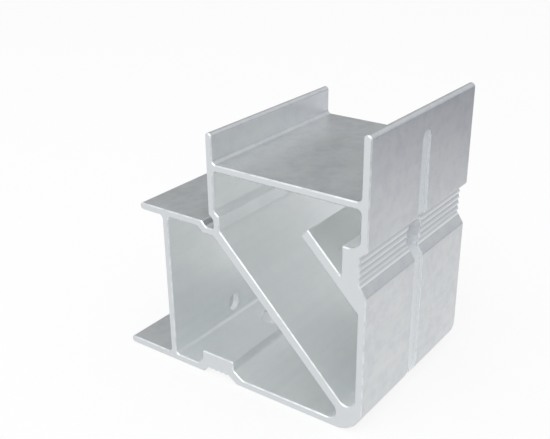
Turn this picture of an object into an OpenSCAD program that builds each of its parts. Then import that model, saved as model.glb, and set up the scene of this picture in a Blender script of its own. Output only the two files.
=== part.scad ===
// Corner connector for a mitred hollow frame: one sawn length of an aluminium
// extrusion. Two equal arms slide into the frame bars, a diagonal brace stiffens
// the corner, and each outer face has a serrated pressing recess, a pin hole and
// a glue channel that runs round the corner.
//
// The section is drawn with x as the distance from the upright's outer face and
// y as the height over the foot's outer face. Both arms mirror in the line x = y.

/* [Arms] */
// Length of an outer leg, from the outer corner to its tip
leg_length = 80; // [74:0.5:110]
// Distance from an arm's outer face to the outside of its inner wall
arm_width = 47.5; // [46.5:0.5:52]
// Distance from the outer corner to the tip of an inner wall
inner_reach = 72; // [68:0.5:100]
// Distance from the outer corner to the outside of an end web
web_reach = 64; // [61:0.5:67]
// Sawn length of the extrusion
cut_length = 54; // [16:0.5:150]

/* [Walls] */
// Thickness of the outer legs
outer_wall = 2.2; // [1.8:0.1:2.8]
// Thickness of the inner walls
inner_wall = 2; // [1.4:0.1:2.6]
// Thickness of the end webs
web_wall = 1.9; // [1.4:0.1:3]
// Thickness of the diagonal brace
brace_wall = 2.8; // [2:0.1:4]
// Radius of the outer corner
corner_r = 8; // [3:0.5:9]
// Fillet where an end web meets a wall
web_fillet = 1.2; // [0.4:0.1:2.5]
// Fillet in the narrow corners beside the brace
brace_fillet = 2.5; // [0.5:0.1:3]

/* [Pressing recess] */
// Height of the recess, the lug and the pin hole along an arm
press_height = 46.5; // [45:0.1:48]
// Depth of the recess under the outer face
recess_depth = 2.1; // [1:0.1:3]
// Height of the recess floor
recess_floor = 6.9; // [4.8:0.1:8]
// Run of the recess's ramp towards the arm's tip
tip_ramp = 2; // [1:0.1:3]
// Run of the recess's ramp towards the outer corner
corner_ramp = 3.1; // [1:0.1:4]
// Number of serrations on the recess floor
ridge_count = 4; // [2:1:6]
// Height of a serration
ridge_height = 0.4; // [0.1:0.05:0.6]

/* [Lug] */
// Depth of the lug's inner face under the outer face
lug_depth = 7; // [5.6:0.1:9]
// Height of the lug's inner face
lug_height = 11; // [9:0.1:13]
// Depth at which the lug's slanted shoulders start
lug_shoulder = 4.4; // [3.2:0.1:5]
// Run of the lug's shoulder towards the arm's tip
tip_shoulder = 1.8; // [1:0.1:4]
// Run of the lug's shoulder towards the outer corner
corner_shoulder = 3.1; // [1.5:0.1:4]

/* [Tongue] */
// Height at which the tongue's middle line meets the upright's outer face
tongue_root = 35; // [33:0.1:37]
// Distance of the tongue's tip from the upright's outer face
tongue_tip = 17.6; // [13:0.1:19]
// Thickness of the tongue
tongue_wall = 2.8; // [1.6:0.1:3.2]

/* [Inner corner] */
// Depth of the relief in the inner corner
relief_depth = 1.5; // [0.8:0.1:2.2]
// Length of the relief along each arm
relief_run = 2.4; // [1.5:0.1:3]
// Length of the offset wall behind the relief, along each arm
joggle_run = 3.7; // [3.4:0.1:6]

/* [Machining] */
// Diameter of the pin hole through each lug
pin_hole_d = 8; // [4:0.1:9]
// Width of the glue channel and of the slot through each end web
channel_w = 4.4; // [2:0.1:5]
// Depth of the glue channel
channel_depth = 0.8; // [0.3:0.1:1.2]
// Distance from the outer corner to the end of the glue channel
channel_reach = 74.4; // [66:0.1:100]
// Length of the slot through each end web
slot_length = 5.6; // [5:0.1:14]
// Gap between that slot and the inside of the outer leg
slot_gap = 1.9; // [0:0.1:3]

/* [Hidden] */
$fn = 64;

// Overshoot of a cut past the face that it opens
past = 1;
// Share of a fillet's radius by which its root is set into the walls
fillet_root = 1 / 8;
// Height of a face of the brace, or of the tongue, over its middle line
brace_rise = brace_wall / sqrt(2);
tongue_rise = tongue_wall / sqrt(2);
// Inner face of an inner wall, and of its offset stretch
inner_face = arm_width - inner_wall;
joggle_face = inner_face - relief_depth;
// Height of the end web's inner face
web_face = web_reach - web_wall;
// Steepness of the relief's slants
joggle_slope = (joggle_run - relief_run) / relief_depth;

module both_arms() {
    children();
    mirror([1, -1, 0]) children();
}

// A straight wall along y with a round tip
module wall_strip(thickness, from, to) {
    translate([0, from]) square([thickness, to - thickness / 2 - from]);
    translate([thickness / 2, to - thickness / 2]) circle(d = thickness);
}

// Fillet in the open angle between two walls that leave the corner at these directions
module fillet(corner, from, to, r) {
    half = (to - from) / 2;
    leg = r / tan(half);
    middle = [cos(from + half), sin(from + half)];
    translate(corner) difference() {
        polygon([-fillet_root * r * middle, leg * [cos(from), sin(from)], leg * [cos(to), sin(to)]]);
        translate(r / sin(half) * middle) circle(r);
    }
}

module end_web() {
    translate([outer_wall / 2, web_face]) square([arm_width - (outer_wall + inner_wall) / 2, web_wall]);
    fillet([outer_wall, web_face], 270, 360, web_fillet);
    fillet([outer_wall, web_reach], 0, 90, web_fillet);
    fillet([inner_face, web_face], 180, 270, web_fillet);
    fillet([inner_face, web_reach], 90, 180, web_fillet);
}

// Thickening behind the pressing recess, with a square face and slanted shoulders
module lug() {
    top = press_height + lug_height / 2;
    foot = press_height - lug_height / 2;
    polygon([
        [0, foot - corner_shoulder], [outer_wall, foot - corner_shoulder], [lug_shoulder, foot],
        [lug_depth, foot], [lug_depth, top],
        [lug_shoulder, top], [outer_wall, top + tip_shoulder], [0, top + tip_shoulder]
    ]);
}

// Ramped recess whose floor is a row of ridges along the extrusion
module recess() {
    foot = press_height - recess_floor / 2;
    top = press_height + recess_floor / 2;
    mouth = (recess_depth + past) / recess_depth;
    polygon([
        [-past, foot - mouth * corner_ramp],
        for (i = [0 : 2 * ridge_count])
            [recess_depth - (i % 2) * ridge_height, foot + i * recess_floor / (2 * ridge_count)],
        [-past, top + mouth * tip_ramp]
    ]);
}

// Offset stretch of the inner wall, which gives the inner corner its relief
module joggle() {
    polygon([
        [inner_face, arm_width + joggle_run],
        [joggle_face, arm_width + relief_run],
        [joggle_face, joggle_face],
        [arm_width, arm_width],
        [arm_width, arm_width + joggle_run]
    ]);
}

module relief() {
    bottom = arm_width - relief_depth;
    mouth = joggle_slope * past;
    polygon([
        [bottom, bottom],
        [bottom, arm_width + relief_run - joggle_slope * relief_depth],
        [arm_width + past, arm_width + relief_run + mouth],
        [arm_width + past, arm_width + past]
    ]);
}

// Diagonal wall between the outer and the inner corner
module brace() {
    start = outer_wall * sqrt(2);
    end = (joggle_face + relief_depth / 2) * sqrt(2);
    rotate(45) translate([start, -brace_wall / 2]) square([end - start, brace_wall]);
    both_arms() fillet([outer_wall, outer_wall + brace_rise], 45, 90, brace_fillet);
}

// Inclined tongue in the upright arm alone, with a square tip
module tongue() {
    foot = outer_wall / 2;
    top = tongue_root + tongue_tip;
    polygon([
        [foot, tongue_root + foot - tongue_rise],
        [tongue_tip + tongue_rise / 2, top - tongue_rise / 2],
        [tongue_tip - tongue_rise / 2, top + tongue_rise / 2],
        [foot, tongue_root + foot + tongue_rise]
    ]);
    fillet([outer_wall, tongue_root + outer_wall - tongue_rise], 270, 405, web_fillet);
}

// The corner square outside the outer radius
module corner_cut() {
    difference() {
        translate([-past, -past]) square(corner_r + past);
        translate([corner_r, corner_r]) circle(corner_r);
    }
}

module section() {
    difference() {
        union() {
            both_arms() {
                wall_strip(outer_wall, 0, leg_length);
                translate([inner_face, 0]) wall_strip(inner_wall, inner_face, inner_reach);
                end_web();
                lug();
                joggle();
            }
            brace();
            tongue();
        }
        both_arms() {
            recess();
            relief();
        }
        corner_cut();
    }
}

// Channel across the outer faces, at a constant depth down the ramps and round the corner
module channel() {
    straight = channel_reach - channel_w / 2 - corner_r;
    translate([0, 0, (cut_length - channel_w) / 2]) linear_extrude(channel_w) {
        both_arms() {
            translate([-past, corner_r]) square([past + channel_depth, straight]);
            translate([channel_depth, 0]) recess();
        }
        difference() {
            translate([-past, -past]) square(corner_r + past);
            translate([corner_r, corner_r]) circle(corner_r - channel_depth);
        }
    }
    both_arms() translate([-past, channel_reach - channel_w / 2, cut_length / 2])
        rotate([0, 90, 0]) cylinder(h = past + channel_depth, d = channel_w);
}

module pin_holes() {
    both_arms() translate([-past, press_height, cut_length / 2])
        rotate([0, 90, 0]) cylinder(h = lug_depth + 2 * past, d = pin_hole_d);
}

// Round-ended slot through each end web, close to the outer leg
module web_slots() {
    travel = slot_length - channel_w;
    start = outer_wall + slot_gap + channel_w / 2;
    both_arms() translate([start, web_face - past, cut_length / 2]) rotate([-90, 0, 0]) {
        for (end = [0, travel]) translate([end, 0, 0]) cylinder(h = web_wall + 2 * past, d = channel_w);
        translate([0, -channel_w / 2, 0]) cube([travel, channel_w, web_wall + 2 * past]);
    }
}

// Stands on its foot, with the origin under the middle of its outline box
module connector() {
    color("silver") translate([leg_length / 2, -cut_length / 2, 0]) rotate([90, 0, 180]) difference() {
        linear_extrude(cut_length) section();
        channel();
        pin_holes();
        web_slots();
    }
}

connector();
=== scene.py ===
import math

import bmesh
import bpy
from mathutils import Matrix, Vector


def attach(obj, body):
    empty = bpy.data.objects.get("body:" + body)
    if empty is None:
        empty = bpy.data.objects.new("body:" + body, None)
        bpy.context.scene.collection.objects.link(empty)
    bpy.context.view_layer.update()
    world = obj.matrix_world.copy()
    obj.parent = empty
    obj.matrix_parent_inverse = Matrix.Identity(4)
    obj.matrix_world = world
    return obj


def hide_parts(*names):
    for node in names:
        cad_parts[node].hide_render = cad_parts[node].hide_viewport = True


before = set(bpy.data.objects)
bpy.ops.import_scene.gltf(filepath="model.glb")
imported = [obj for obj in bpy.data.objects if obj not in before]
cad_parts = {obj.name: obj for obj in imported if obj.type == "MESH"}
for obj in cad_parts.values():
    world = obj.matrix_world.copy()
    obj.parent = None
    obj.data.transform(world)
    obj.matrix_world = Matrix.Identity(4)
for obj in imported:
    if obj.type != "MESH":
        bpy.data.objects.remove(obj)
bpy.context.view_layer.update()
scene = bpy.context.scene
scene.view_settings.view_transform = "Standard"
scene.cycles.glossy_bounces = 12     # light goes deep into the bright chambers
mm = 0.001
print("frame loaded:", sorted(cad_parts))


def linearColor(hexText):
    parts = [int(hexText[i:i + 2], 16) / 255 for i in (1, 3, 5)]
    return [p / 12.92 if p <= 0.04045 else ((p + 0.055) / 1.055) ** 2.4 for p in parts] + [1.0]


# adds a node; a socket given as an input is linked, anything else is its value
def addNode(tree, kind, inputs=None, **settings):
    node = tree.nodes.new(kind)
    for name, value in settings.items():
        setattr(node, name, value)
    for name, value in (inputs or {}).items():
        if isinstance(value, bpy.types.NodeSocket):
            tree.links.new(value, node.inputs[name])
        else:
            node.inputs[name].default_value = value
    return node


def startMaterial(name):
    material = bpy.data.materials.new(name)
    material.use_nodes = True
    material.node_tree.nodes.clear()
    return material, material.node_tree


# the photograph's camera, fitted to the part's corners and edges
view = {
    "place": (125.08 * mm, -178.42 * mm, 137.53 * mm),
    "azimuth": 34.80,       # degrees
    "elevation": 24.61,
    "pictureWidth": 550,    # pixels
    "focal": 846.4,         # pixels
    "offset": (-20, 9),     # pixels that the frame lies off the axis
    "sensor": 36,           # mm
    "clip": (0.01, 50),     # m
}


def setCamera(s):
    data = bpy.data.cameras.new("camera")
    data.sensor_width = s["sensor"]
    data.lens = s["focal"] * s["sensor"] / s["pictureWidth"]
    data.shift_x, data.shift_y = [pixels / s["pictureWidth"] for pixels in s["offset"]]
    data.clip_start, data.clip_end = s["clip"]
    camera = bpy.data.objects.new("camera", data)
    turn, rise = math.radians(s["azimuth"]), math.radians(s["elevation"])
    look = Vector((-math.sin(turn) * math.cos(rise), math.cos(turn) * math.cos(rise), -math.sin(rise)))
    camera.location = s["place"]
    camera.rotation_euler = look.to_track_quat("-Z", "Y").to_euler()
    scene.collection.objects.link(camera)
    scene.camera = camera


setCamera(view)
print("camera set")


# aluminium as it leaves the press: dull oxide skin, fine die lines along the extrusion, a few pick-up specks
millFinish = {
    "name": "millFinishAluminium",
    "metal": "#DADCDD",
    "streak": "#D5D8D9",         # duller bands along the extrusion
    "streakRange": (0.35, 0.7),
    "bandWidth": 3.6,            # mm
    "bloom": "#CBCDD3",          # faint blotches of thicker oxide
    "bloomRange": (0.45, 0.65),
    "bloomShare": 0.5,
    "bloomSize": 3.0,            # mm
    "speck": "#A9ADAE",
    "speckRange": (0.66, 0.76),
    "speckShare": 0.35,
    "speckSize": 0.7,            # mm
    "roughness": (0.40, 0.50),
    "cloudRange": (0.3, 0.7),
    "cloudSize": 14.0,           # mm, patches of more and less gloss
    "lineWidth": 0.45,           # mm, real die lines are finer, this is what the picture can show
    "lineDepth": 0.006,          # mm
    "lineStrength": 0.25,
    "drawnOut": 0.004,           # how little the lines and bands change along the extrusion
    "paintedCrestHighlight": "#F9FBFB",          # painted highlight on the ridges of the pressing recess
    "paintedValleyShade": "#D5D8DA",         # painted shade between them
    "ridgeDepth": (1.7, 2.1),    # mm under the outer face, of the painted highlight and the painted shade
    "ridgeZone": (1.6, 2.15),    # mm, the depths that take this painted highlight and shade
    "ridgeReach": 51.0,          # mm from the outer corner
    "legLength": 80.0,           # mm
}
# the same skin inside the chambers, made lighter: painted light
chamberPaintedLightFinish = {
    **millFinish,
    "name": "chamberPaintedLightAluminium",
    "metal": "#F6F8F8",
    "streak": "#F2F5F5",
    "speck": "#D5D8D9",
    "bloom": "#F2F4F5",
    "roughness": (0.47, 0.57),
}
# the narrow pocket between the tongue and the lug, made lighter still: painted light
pocketPaintedLightFinish = {
    **chamberPaintedLightFinish,
    "name": "pocketPaintedLightAluminium",
    "metal": "#FBFCFC",
    "streak": "#F8FAFA",
    "bloom": "#F8FAFA",
}
# inner walls beyond the webs, half sheltered, made lighter: painted light
endWallPaintedLightFinish = {
    **millFinish,
    "name": "endWallPaintedLightAluminium",
    "metal": "#EEF0F1",
    "streak": "#E9ECEC",
    "speck": "#C4C8C9",
    "bloom": "#E4E6E9",
}


def makeMillFinish(s):
    material, tree = startMaterial(s["name"])
    place = addNode(tree, "ShaderNodeTexCoord").outputs["Object"]
    along = addNode(tree, "ShaderNodeMapping", {
        "Vector": place, "Scale": (1, s["drawnOut"], 1)}).outputs["Vector"]
    lines = addNode(tree, "ShaderNodeTexNoise", {
        "Vector": along, "Scale": 1 / (s["lineWidth"] * mm), "Detail": 3.0, "Roughness": 0.6}).outputs["Fac"]
    bands = addNode(tree, "ShaderNodeTexNoise", {
        "Vector": along, "Scale": 1 / (s["bandWidth"] * mm), "Detail": 2.0}).outputs["Fac"]
    clouds = addNode(tree, "ShaderNodeTexNoise", {
        "Vector": place, "Scale": 1 / (s["cloudSize"] * mm), "Detail": 4.0, "Roughness": 0.65}).outputs["Fac"]
    specks = addNode(tree, "ShaderNodeTexNoise", {
        "Vector": place, "Scale": 1 / (s["speckSize"] * mm), "Detail": 2.0}).outputs["Fac"]
    streaky = addNode(tree, "ShaderNodeMapRange", {
        "Value": bands, "From Min": s["streakRange"][0], "From Max": s["streakRange"][1]}).outputs["Result"]
    base = addNode(tree, "ShaderNodeMix", {
        "Factor": streaky, "A": linearColor(s["metal"]), "B": linearColor(s["streak"])}, data_type="RGBA")
    blotches = addNode(tree, "ShaderNodeTexNoise", {
        "Vector": place, "Scale": 1 / (s["bloomSize"] * mm), "Detail": 3.0, "Roughness": 0.6}).outputs["Fac"]
    bloomy = addNode(tree, "ShaderNodeMapRange", {
        "Value": blotches, "From Min": s["bloomRange"][0], "From Max": s["bloomRange"][1],
        "To Max": s["bloomShare"]}).outputs["Result"]
    base = addNode(tree, "ShaderNodeMix", {
        "Factor": bloomy, "A": base.outputs["Result"], "B": linearColor(s["bloom"])}, data_type="RGBA")
    spotty = addNode(tree, "ShaderNodeMapRange", {
        "Value": specks, "From Min": s["speckRange"][0], "From Max": s["speckRange"][1],
        "To Max": s["speckShare"]}).outputs["Result"]
    spotted = addNode(tree, "ShaderNodeMix", {
        "Factor": spotty, "A": base.outputs["Result"], "B": linearColor(s["speck"])}, data_type="RGBA")
    # how deep a point lies under the nearer outer face, and how far along that arm
    axes = addNode(tree, "ShaderNodeSeparateXYZ", {"Vector": place}).outputs
    inward = addNode(tree, "ShaderNodeMath", {
        0: s["legLength"] / 2 * mm, 1: axes["X"]}, operation="SUBTRACT").outputs["Value"]
    depth = addNode(tree, "ShaderNodeMath", {0: inward, 1: axes["Z"]}, operation="MINIMUM").outputs["Value"]
    reach = addNode(tree, "ShaderNodeMath", {0: inward, 1: axes["Z"]}, operation="MAXIMUM").outputs["Value"]
    # painted highlight on the recess's ridge crests and painted shade in its valleys, set by depth
    level = addNode(tree, "ShaderNodeMapRange", {
        "Value": depth, "From Min": s["ridgeDepth"][0] * mm,
        "From Max": s["ridgeDepth"][1] * mm}).outputs["Result"]
    ridges = addNode(tree, "ShaderNodeMix", {
        "Factor": level, "A": linearColor(s["paintedCrestHighlight"]), "B": linearColor(s["paintedValleyShade"])}, data_type="RGBA")
    within = addNode(tree, "ShaderNodeMath", {
        0: reach, 1: s["ridgeReach"] * mm}, operation="LESS_THAN").outputs["Value"]
    for edge, way in zip(s["ridgeZone"], ("GREATER_THAN", "LESS_THAN")):
        side = addNode(tree, "ShaderNodeMath", {0: depth, 1: edge * mm}, operation=way).outputs["Value"]
        within = addNode(tree, "ShaderNodeMath", {0: within, 1: side}, operation="MULTIPLY").outputs["Value"]
    color = addNode(tree, "ShaderNodeMix", {
        "Factor": within, "A": spotted.outputs["Result"], "B": ridges.outputs["Result"]}, data_type="RGBA")
    dullness = addNode(tree, "ShaderNodeMapRange", {
        "Value": clouds, "From Min": s["cloudRange"][0], "From Max": s["cloudRange"][1],
        "To Min": s["roughness"][0], "To Max": s["roughness"][1]}).outputs["Result"]
    bump = addNode(tree, "ShaderNodeBump", {
        "Height": lines, "Strength": s["lineStrength"], "Distance": s["lineDepth"] * mm}).outputs["Normal"]
    shader = addNode(tree, "ShaderNodeBsdfPrincipled", {
        "Base Color": color.outputs["Result"], "Metallic": 1.0, "Roughness": dullness, "Normal": bump})
    addNode(tree, "ShaderNodeOutputMaterial", {"Surface": shader.outputs["BSDF"]})
    return material


# saw-cut ends: bright fresh metal, matt from the blade's fine curved marks
sawnEnd = {
    "metal": "#DBDEE0",
    "dull": "#D3D7DA",
    "roughness": (0.46, 0.58),
    "markPitch": 0.6,      # mm between blade marks
    "markDepth": 0.01,     # mm
    "markStrength": 0.4,
    "ringScale": 0.314,    # wave scale that sets the rings 1 m apart
    "bladeCentre": (-0.06, 0.0, -0.16),      # m
    "grainSize": 0.8,      # mm
    "grainStrength": 0.3,
}


def makeSawnEnd(s):
    material, tree = startMaterial("sawnAluminium")
    place = addNode(tree, "ShaderNodeTexCoord").outputs["Object"]
    fromBlade = addNode(tree, "ShaderNodeMapping", {
        "Vector": place, "Location": [-c for c in s["bladeCentre"]]}).outputs["Vector"]
    marks = addNode(tree, "ShaderNodeTexWave", {
        "Vector": fromBlade, "Scale": s["ringScale"] / (s["markPitch"] * mm), "Distortion": 2.0,
        "Detail": 3.0, "Detail Scale": 0.5}, wave_type="RINGS", rings_direction="Y").outputs["Fac"]
    grain = addNode(tree, "ShaderNodeTexNoise", {
        "Vector": place, "Scale": 1 / (s["grainSize"] * mm), "Detail": 4.0, "Roughness": 0.7}).outputs["Fac"]
    color = addNode(tree, "ShaderNodeMix", {
        "Factor": grain, "A": linearColor(s["metal"]), "B": linearColor(s["dull"])}, data_type="RGBA")
    dullness = addNode(tree, "ShaderNodeMapRange", {
        "Value": marks, "To Min": s["roughness"][0], "To Max": s["roughness"][1]}).outputs["Result"]
    grainBump = addNode(tree, "ShaderNodeBump", {
        "Height": grain, "Strength": s["grainStrength"], "Distance": s["markDepth"] * mm}).outputs["Normal"]
    bump = addNode(tree, "ShaderNodeBump", {
        "Height": marks, "Strength": s["markStrength"], "Distance": s["markDepth"] * mm,
        "Normal": grainBump}).outputs["Normal"]
    shader = addNode(tree, "ShaderNodeBsdfPrincipled", {
        "Base Color": color.outputs["Result"], "Metallic": 1.0, "Roughness": dullness, "Normal": bump})
    addNode(tree, "ShaderNodeOutputMaterial", {"Surface": shader.outputs["BSDF"]})
    return material


# glue channel: cutter-bright metal with a fine chatter
milledCut = {
    "name": "milledAluminium",
    "metal": "#F1F3F4",
    "mark": "#E4E7E9",
    "roughness": (0.72, 0.9),
    "chatter": 0.5,            # mm, coarser than the real marks so that they show
    "chatterDepth": 0.008,     # mm
    "chatterStrength": 0.3,
}
# pin holes and web slots: the milled finish made lighter, painted light on their walls
drilledHolePaintedLight = {
    **milledCut,
    "name": "drilledPaintedLightAluminium",
    "metal": "#F8F9FA",
    "mark": "#EDEFF1",
}


def makeMilledCut(s):
    material, tree = startMaterial(s["name"])
    place = addNode(tree, "ShaderNodeTexCoord").outputs["Object"]
    chatter = addNode(tree, "ShaderNodeTexNoise", {
        "Vector": place, "Scale": 1 / (s["chatter"] * mm), "Detail": 3.0, "Roughness": 0.6}).outputs["Fac"]
    color = addNode(tree, "ShaderNodeMix", {
        "Factor": chatter, "A": linearColor(s["metal"]), "B": linearColor(s["mark"])}, data_type="RGBA")
    dullness = addNode(tree, "ShaderNodeMapRange", {
        "Value": chatter, "To Min": s["roughness"][0], "To Max": s["roughness"][1]}).outputs["Result"]
    bump = addNode(tree, "ShaderNodeBump", {
        "Height": chatter, "Strength": s["chatterStrength"],
        "Distance": s["chatterDepth"] * mm}).outputs["Normal"]
    shader = addNode(tree, "ShaderNodeBsdfPrincipled", {
        "Base Color": color.outputs["Result"], "Metallic": 1.0, "Roughness": dullness, "Normal": bump})
    addNode(tree, "ShaderNodeOutputMaterial", {"Surface": shader.outputs["BSDF"]})
    return material


# deburred edges round the sawn ends: a thin brushed line that catches the light, fresh metal whose lighter
# colour is partly a painted highlight
brushedEdge = {
    "metal": "#E6E9EA",
    "worn": "#CBCFD1",
    "roughness": 0.42,
    "nickSize": 2.5,       # mm between duller stretches
    "nickRange": (0.4, 0.7),
}


def makeBrushedEdge(s):
    material, tree = startMaterial("brushedEdgeAluminium")
    place = addNode(tree, "ShaderNodeTexCoord").outputs["Object"]
    nicks = addNode(tree, "ShaderNodeTexNoise", {
        "Vector": place, "Scale": 1 / (s["nickSize"] * mm), "Detail": 3.0}).outputs["Fac"]
    worn = addNode(tree, "ShaderNodeMapRange", {
        "Value": nicks, "From Min": s["nickRange"][0], "From Max": s["nickRange"][1]}).outputs["Result"]
    color = addNode(tree, "ShaderNodeMix", {
        "Factor": worn, "A": linearColor(s["metal"]), "B": linearColor(s["worn"])}, data_type="RGBA")
    shader = addNode(tree, "ShaderNodeBsdfPrincipled", {
        "Base Color": color.outputs["Result"], "Metallic": 1.0, "Roughness": s["roughness"]})
    addNode(tree, "ShaderNodeOutputMaterial", {"Surface": shader.outputs["BSDF"]})
    return material


finishes = {
    "mill": makeMillFinish(millFinish),
    "sawn": makeSawnEnd(sawnEnd),
    "milled": makeMilledCut(milledCut),
    "drilled": makeMilledCut(drilledHolePaintedLight),
    "chamber": makeMillFinish(chamberPaintedLightFinish),
    "pocket": makeMillFinish(pocketPaintedLightFinish),
    "endWall": makeMillFinish(endWallPaintedLightFinish),
    "edge": makeBrushedEdge(brushedEdge),
}
slot = {name: i for i, name in enumerate(finishes)}
print("materials made:", len(finishes))


# the extrusion's skin: the solid's own shape with its edges eased
skin = {
    "edgeBreak": 0.3 * mm,       # deburred sawn outline and eased long edges
    "edgeSegments": 2,
    "longEdge": 2.5 * mm,        # shorter edges aren't eased as long ones
    "longEasedFrom": 20,         # degrees between faces along the extrusion
    "innerRadius": 0.6 * mm,     # fillets in the inner angles
    "innerSegments": 4,
    "holeBreak": 0.35 * mm,      # deburred rims of the pin holes
    "rimSegments": 1,
    "sharpFrom": 28,             # degrees between faces that shade apart
    "normalWeight": 100,         # how strongly broad faces hold the normals
    "near": 0.02 * mm,           # what counts as lying on a face
    "merge": 0.002 * mm,
    "cutSnap": 0.001 * mm,
    "flatTo": 0.5,               # degrees between faces that become one
    "strips": (-24 * mm, -5 * mm, 5 * mm, 24 * mm),      # cuts along the extrusion
    # sizes of the solid, from the outer faces and from mid-length
    "legLength": 80 * mm,
    "halfCut": 27 * mm,
    "wall": 2.2 * mm,
    "innerFace": 45.5 * mm,
    "webFace": 62.1 * mm,
    "webReach": 64 * mm,
    "ridgeDepth": (1.5 * mm, 2.15 * mm),     # the recess's ridges stay crisp
    "ridgeReach": 51 * mm,
    "lugFace": 7 * mm,
    "pressHeight": 46.5 * mm,
    "pinHoleRadius": 4 * mm,
    "holeDepth": 8 * mm,         # the upright's hole runs into the tongue's root
    "channelHalf": 2.2 * mm,
    "channelFloor": 3.1 * mm,
    "pocketReach": 20 * mm,
    "tongueRoot": 36 * mm,
    "braceJoint": (44 * mm, 45.98 * mm),     # where the brace's face meets the inner wall
    "jointGap": 0.55 * mm,
}


# distances of a point from the upright's and the foot's outer face
def fromOuterFaces(point, s):
    return s["legLength"] / 2 - point.x, point.z


# True for the flat faces that the saw leaves
def isEndFace(face, s):
    return all(abs(abs(v.co.y) - s["halfCut"]) < s["near"] for v in face.verts)


# True for the walls of the two pin holes
def isHoleWall(face, s):
    spots = [fromOuterFaces(v.co, s) + (v.co.y,) for v in face.verts]
    for depth, height in ((0, 1), (1, 0)):
        if all(abs(math.hypot(p[2], p[height] - s["pressHeight"]) - s["pinHoleRadius"]) < s["near"]
               and p[depth] < s["holeDepth"] + s["near"] for p in spots):
            return True
    return False


# the finish that a face of the solid has
def finishOf(face, s):
    if isHoleWall(face, s):
        return "drilled"
    inward, height = fromOuterFaces(face.calc_center_median(), s)
    shallow, far = sorted((inward, height))
    if max(abs(v.co.y) for v in face.verts) < s["channelHalf"] + s["near"]:
        if s["webFace"] < far < s["webReach"] and shallow > s["wall"]:
            return "drilled"
        if shallow < s["channelFloor"]:
            return "milled"
    if s["wall"] - s["near"] < shallow < s["innerFace"] and far < s["webFace"] + s["near"]:
        inPocket = inward < s["pocketReach"] and height - inward > s["tongueRoot"]
        return "pocket" if inPocket else "chamber"
    return "endWall" if abs(shallow - s["innerFace"]) < s["near"] and far > s["webReach"] else "mill"


# True for edges along the extrusion, apart from the recess's ridges and the cutter's faces
def isLongEdge(edge, s):
    ends = [v.co for v in edge.verts]
    if len(edge.link_faces) != 2 or abs(ends[0].y - ends[1].y) < s["longEdge"]:
        return False
    if any(f.material_index in (slot["milled"], slot["drilled"]) for f in edge.link_faces):
        return False
    shallow, far = sorted(fromOuterFaces(ends[0], s))
    onRidge = s["ridgeDepth"][0] < shallow < s["ridgeDepth"][1] and far < s["ridgeReach"]
    return math.degrees(edge.calc_face_angle()) > s["longEasedFrom"] and not onRidge


# True for the straight rims of the glue channel on the outer faces
def isChannelRim(edge, s):
    ends = [v.co for v in edge.verts]
    onRim = all(abs(abs(c.y) - s["channelHalf"]) < s["near"] and min(fromOuterFaces(c, s)) < s["near"]
                for c in ends)
    return onRim and ends[0].y * ends[1].y > 0 and (ends[0] - ends[1]).length > s["channelHalf"]


# True for the pin holes' rims beside the channel, and for the rim in the foot's chamber
def isHoleRim(edge, s):
    if sum(isHoleWall(f, s) for f in edge.link_faces) != 1:
        return False
    ends = [v.co for v in edge.verts]
    if all(abs(c.z - s["lugFace"]) < s["near"] for c in ends):
        return True
    beside = all(abs(c.y) > s["channelHalf"] - s["near"] for c in ends)
    bends = abs(ends[0].y - ends[1].y) > s["near"]
    return beside and bends and all(min(fromOuterFaces(c, s)) < s["ridgeDepth"][1] for c in ends)


def ease(bm, edges, offset, segments):
    return bmesh.ops.bevel(bm, geom=edges, offset=offset, affect="EDGES", segments=segments,
                           profile=0.5, material=-1, clamp_overlap=False)["faces"]


# closes the open ends with flat faces and chamfers them: the faces shrink and their outline goes back
def closeEnds(bm, s):
    for side in (-1, 1):
        outline = [e for e in bm.edges if e.is_boundary and e.verts[0].co.y * side > 0]
        bmesh.ops.triangle_fill(bm, edges=outline, use_beauty=True, normal=(0, side, 0))
    bmesh.ops.recalc_face_normals(bm, faces=bm.faces)
    ends = [f for f in bm.faces if isEndFace(f, s)]
    for face in ends:
        face.material_index = slot["sawn"]
    rim = bmesh.ops.inset_region(bm, faces=ends, thickness=s["edgeBreak"], use_boundary=True,
                                 use_even_offset=True)["faces"]
    for face in rim:
        face.material_index = slot["edge"]
    capped = (slot["sawn"], slot["edge"])
    outline = [e for f in rim for e in f.edges if any(g.material_index not in capped for g in e.link_faces)]
    for v in {v for e in outline for v in e.verts}:
        v.co.y -= math.copysign(s["edgeBreak"], v.co.y)


# closes the hair-thin notch beside the brace's inner end, which the die's fillet fills
def closeNotch(bm, s):
    depth, height = s["braceJoint"]
    for x, z in ((s["legLength"] / 2 - depth, height), (s["legLength"] / 2 - height, depth)):
        for v in bm.verts:
            if math.hypot(v.co.x - x, v.co.z - z) < s["jointGap"]:
                v.co.x, v.co.z = x, z
    bmesh.ops.remove_doubles(bm, verts=bm.verts, dist=s["merge"])


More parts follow.
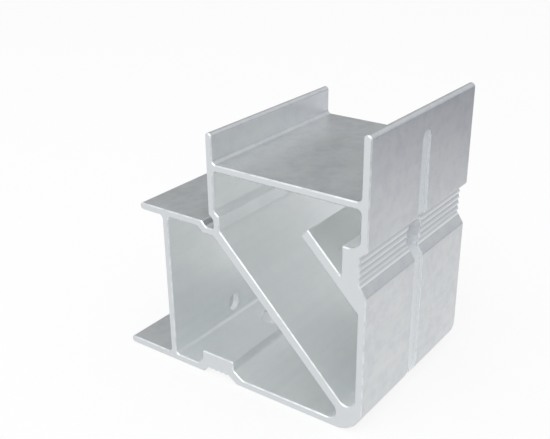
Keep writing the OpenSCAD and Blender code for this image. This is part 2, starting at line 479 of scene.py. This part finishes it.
def makeSkin(s):
    mesh = bpy.data.meshes.new("connectorSkin")
    bm = bmesh.new()
    bm.from_mesh(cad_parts["connector"].data)
    bmesh.ops.remove_doubles(bm, verts=bm.verts, dist=s["merge"])
    closeNotch(bm, s)
    # cut into strips across the extrusion, so that faces by the ends and edges are plain
    for at in s["strips"]:
        cut = bmesh.ops.bisect_plane(bm, geom=bm.verts[:] + bm.edges[:] + bm.faces[:], dist=s["cutSnap"],
                                     plane_co=(0, at, 0), plane_no=(0, 1, 0))["geom_cut"]
        for edge in cut:
            if isinstance(edge, bmesh.types.BMEdge):
                edge.seam = True
    bmesh.ops.dissolve_limit(bm, angle_limit=math.radians(s["flatTo"]), verts=bm.verts, edges=bm.edges,
                             delimit={"SEAM"})
    ends = [f for f in bm.faces if isEndFace(f, s)]
    bmesh.ops.delete(bm, geom=ends, context="FACES")
    for face in bm.faces:
        face.material_index = slot[finishOf(face, s)]
    # small fillets that the die leaves in the inner angles, then the long edges and the rims
    hollow = [e for e in bm.edges if isLongEdge(e, s) and not e.is_convex]
    ease(bm, hollow, s["innerRadius"], s["innerSegments"])
    ease(bm, [e for e in bm.edges if isLongEdge(e, s) and e.is_convex], s["edgeBreak"], s["edgeSegments"])
    rims = ease(bm, [e for e in bm.edges if isHoleRim(e, s)], s["holeBreak"], s["rimSegments"])
    rims += ease(bm, [e for e in bm.edges if isChannelRim(e, s)], s["edgeBreak"], s["rimSegments"])
    for face in rims:
        if face.is_valid:
            face.material_index = slot["edge"]
    closeEnds(bm, s)
    for face in bm.faces:
        face.smooth = face.material_index != slot["edge"]
    for edge in bm.edges:
        edge.smooth = len(edge.link_faces) == 2 and edge.calc_face_angle() < math.radians(s["sharpFrom"])
    bm.to_mesh(mesh)
    bm.free()
    piece = bpy.data.objects.new("connectorSkin", mesh)
    scene.collection.objects.link(piece)
    for material in finishes.values():
        mesh.materials.append(material)
    flatten = piece.modifiers.new("flatFaces", "WEIGHTED_NORMAL")    # the broad faces keep their own normals
    flatten.mode = "FACE_AREA"
    flatten.weight = s["normalWeight"]
    flatten.keep_sharp = True
    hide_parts("connector")
    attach(piece, "root")
    return piece


connectorSkin = makeSkin(skin)
used = [p.material_index for p in connectorSkin.data.polygons]
print("skin made: faces by finish", {name: used.count(i) for name, i in slot.items()})


# pale matt table, white round the part, with painted shade far on its right
floor = {
    "color": "#F7F7F7",
    "shade": "#8C8C99",
    "white": "#FFFFFF",
    "halfSize": 4.0,           # m
    "shadeSide": (0.943, 0.337, 0.0),
    "shadeFrom": 118 * mm,     # from the part's middle towards that side
    "shadeTo": 264 * mm,
    "glow": 0.8,               # share of plain white, the rest keeps the shadow
    "roughness": (0.85, 0.95),
    "specular": 0.1,
    "toothSize": 25.0,         # mm
}


def makeFloor(s):
    material, tree = startMaterial("paleTable")
    place = addNode(tree, "ShaderNodeTexCoord").outputs["Object"]
    across = addNode(tree, "ShaderNodeVectorMath", {
        0: place, 1: s["shadeSide"]}, operation="DOT_PRODUCT").outputs["Value"]
    far = addNode(tree, "ShaderNodeMapRange", {
        "Value": across, "From Min": s["shadeFrom"], "From Max": s["shadeTo"]},
        interpolation_type="SMOOTHSTEP").outputs["Result"]
    # painted shade: the table's colour darkens far on its right
    color = addNode(tree, "ShaderNodeMix", {
        "Factor": far, "A": linearColor(s["color"]), "B": linearColor(s["shade"])}, data_type="RGBA")
    tooth = addNode(tree, "ShaderNodeTexNoise", {
        "Vector": place, "Scale": 1 / (s["toothSize"] * mm), "Detail": 2.0}).outputs["Fac"]
    dullness = addNode(tree, "ShaderNodeMapRange", {
        "Value": tooth, "To Min": s["roughness"][0], "To Max": s["roughness"][1]}).outputs["Result"]
    lit = addNode(tree, "ShaderNodeBsdfPrincipled", {
        "Base Color": color.outputs["Result"], "Roughness": dullness, "Specular IOR Level": s["specular"]})
    clear = addNode(tree, "ShaderNodeMix", {
        "Factor": far, "A": linearColor(s["white"]), "B": linearColor(s["shade"])}, data_type="RGBA")
    white = addNode(tree, "ShaderNodeEmission", {"Color": clear.outputs["Result"], "Strength": 1.0})
    # seen directly or in the metal the table is white, with the painted shade far on its right and the part's
    # shadow on it
    path = addNode(tree, "ShaderNodeLightPath").outputs
    seen = addNode(tree, "ShaderNodeMath", {
        0: path["Is Camera Ray"], 1: path["Is Glossy Ray"]}, operation="MAXIMUM")
    seen = addNode(tree, "ShaderNodeMath", {
        0: seen.outputs["Value"], 1: path["Is Transmission Ray"]}, operation="MAXIMUM")
    share = addNode(tree, "ShaderNodeMath", {0: seen.outputs["Value"], 1: s["glow"]}, operation="MULTIPLY")
    mixed = addNode(tree, "ShaderNodeMixShader", {
        0: share.outputs["Value"], 1: lit.outputs["BSDF"], 2: white.outputs["Emission"]})
    addNode(tree, "ShaderNodeOutputMaterial", {"Surface": mixed.outputs["Shader"]})
    mesh = bpy.data.meshes.new("table")
    bm = bmesh.new()
    bmesh.ops.create_grid(bm, x_segments=1, y_segments=1, size=s["halfSize"])
    bm.to_mesh(mesh)
    bm.free()
    mesh.materials.append(material)
    table = bpy.data.objects.new("table", mesh)
    scene.collection.objects.link(table)


makeFloor(floor)
print("floor made")


# soft studio light: an even pale room with two duller patches at the back, and one big box over the front
light = {
    "boxPlace": (0.06, -0.56, 0.62),      # m
    "boxTarget": (0.0, 0.0, 0.03),
    "boxSize": 0.75,
    "boxWatts": 2.3,
    "room": "#F4F5F6",
    "patches": [
        # direction, colour, how narrow
        ((-0.585, 0.749, 0.309), "#858887", 8.0),
        ((0.58, 0.75, 0.325), "#DADCDE", 8.0),
    ],
}


def setLight(s):
    data = bpy.data.lights.new("overhead", "AREA")
    data.size = s["boxSize"]
    data.energy = s["boxWatts"]
    lamp = bpy.data.objects.new("overhead", data)
    lamp.location = s["boxPlace"]
    aim = Vector(s["boxTarget"]) - Vector(s["boxPlace"])
    lamp.rotation_euler = aim.to_track_quat("-Z", "Y").to_euler()
    scene.collection.objects.link(lamp)
    world = bpy.data.worlds.new("room")
    scene.world = world
    world.use_nodes = True
    tree = world.node_tree
    tree.nodes.clear()
    way = addNode(tree, "ShaderNodeTexCoord").outputs["Generated"]
    color = linearColor(s["room"])
    for side, shade, narrow in s["patches"]:
        toward = addNode(tree, "ShaderNodeVectorMath", {
            0: way, 1: side}, operation="DOT_PRODUCT").outputs["Value"]
        facing = addNode(tree, "ShaderNodeMath", {0: toward, 1: 0.0}, operation="MAXIMUM").outputs["Value"]
        near = addNode(tree, "ShaderNodeMath", {0: facing, 1: narrow}, operation="POWER").outputs["Value"]
        color = addNode(tree, "ShaderNodeMix", {
            "Factor": near, "A": color, "B": linearColor(shade)}, data_type="RGBA").outputs["Result"]
    air = addNode(tree, "ShaderNodeBackground", {"Color": color, "Strength": 1.0})
    addNode(tree, "ShaderNodeOutputWorld", {"Surface": air.outputs["Background"]})


setLight(light)
print("light set")
